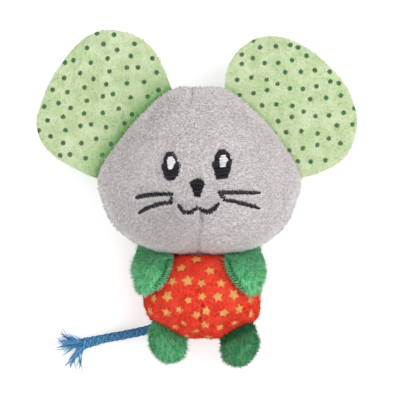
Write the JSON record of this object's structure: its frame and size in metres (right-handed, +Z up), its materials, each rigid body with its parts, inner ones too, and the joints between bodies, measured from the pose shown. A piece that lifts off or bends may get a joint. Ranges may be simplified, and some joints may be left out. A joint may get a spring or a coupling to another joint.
{
  "type": "catnip mouse",
  "caption": "Stuffed cat toy mouse lying on its back: big flat ears, embroidered face, red starred body, green arms and feet, braided cord tail.",
  "frame": {"origin": "on the surface that the mouse lies on, in the middle of its outline without the tail", "axes": "+Z up out of the face, +Y towards the ears, +X towards the mouse's own left"},
  "size_m": [0.1278, 0.1334, 0.0447],
  "materials": {
    "grey_plush": "short pile",
    "dotted_velour": "smooth velour with dark green pin dots",
    "star_velour": "smooth velour with yellow stars",
    "green_plush": "longer pile",
    "black_thread": "satin stitch",
    "white_thread": "satin stitch",
    "polyester_filling": "loose fibre",
    "sachet_cloth": "plain weave",
    "blue_cord": "braided"
  },
  "bodies": {
    "torso": {"body_front_panel": "star_velour", "body_back_panel": "star_velour", "body_filling": "polyester_filling", "catnip_sachet": "sachet_cloth", "tail_cord": "blue_cord", "tail_frayed_end": "blue_cord"},
    "head": {"head_front_panel": "grey_plush", "head_back_panel": "grey_plush", "head_filling": "polyester_filling", "eye_left": "black_thread", "eye_left_highlight": "white_thread", "eye_right": "black_thread", "eye_right_highlight": "white_thread", "nose": "black_thread", "mouth": "black_thread", "whiskers_left": "black_thread", "whiskers_right": "black_thread"},
    "ear_left": {"ear_left_front_panel": "dotted_velour", "ear_left_back_panel": "dotted_velour"},
    "ear_right": {"ear_right_front_panel": "dotted_velour", "ear_right_back_panel": "dotted_velour"},
    "arm_left": {"arm_left_front_panel": "green_plush", "arm_left_back_panel": "green_plush", "arm_left_filling": "polyester_filling"},
    "arm_right": {"arm_right_front_panel": "green_plush", "arm_right_back_panel": "green_plush", "arm_right_filling": "polyester_filling"},
    "foot_left": {"foot_left_front_panel": "green_plush", "foot_left_back_panel": "green_plush", "foot_left_filling": "polyester_filling"},
    "foot_right": {"foot_right_front_panel": "green_plush", "foot_right_back_panel": "green_plush", "foot_right_filling": "polyester_filling"}
  },
  "joints": [
    {"name": "head_nod", "type": "hinge", "parent": "torso", "child": "head", "pos_m": [0.0011, -0.01529, 0.01715], "axis": [1, 0, 0], "range_deg": [-12, 10], "stiffness_Nm_per_rad": 0.08},
    {"name": "ear_left_fold", "type": "hinge", "parent": "head", "child": "ear_left", "pos_m": [0.03094, 0.03034, 0.02015], "axis": [0.6665, -0.7455, 0], "range_deg": [-75, 75], "stiffness_Nm_per_rad": 0.006},
    {"name": "ear_right_fold", "type": "hinge", "parent": "head", "child": "ear_right", "pos_m": [-0.02892, 0.03013, 0.02015], "axis": [0.6252, 0.7804, 0], "range_deg": [-75, 75], "stiffness_Nm_per_rad": 0.006},
    {"name": "arm_left_lift", "type": "hinge", "parent": "torso", "child": "arm_left", "pos_m": [0.0176, -0.02389, 0.0225], "axis": [-0.9681, -0.2504, 0], "range_deg": [0, 45], "stiffness_Nm_per_rad": 0.0006},
    {"name": "arm_right_lift", "type": "hinge", "parent": "torso", "child": "arm_right", "pos_m": [-0.0154, -0.02389, 0.02125], "axis": [-0.9681, 0.2504, 0], "range_deg": [0, 45], "stiffness_Nm_per_rad": 0.0006},
    {"name": "foot_left_fold", "type": "hinge", "parent": "torso", "child": "foot_left", "pos_m": [0.0157, -0.05329, 0.01715], "axis": [-0.9135, -0.4067, 0], "range_deg": [-45, 50], "stiffness_Nm_per_rad": 0.0006},
    {"name": "foot_right_fold", "type": "hinge", "parent": "torso", "child": "foot_right", "pos_m": [-0.0115, -0.05329, 0.01715], "axis": [-0.9135, 0.4067, 0], "range_deg": [-45, 50], "stiffness_Nm_per_rad": 0.0006}
  ]
}
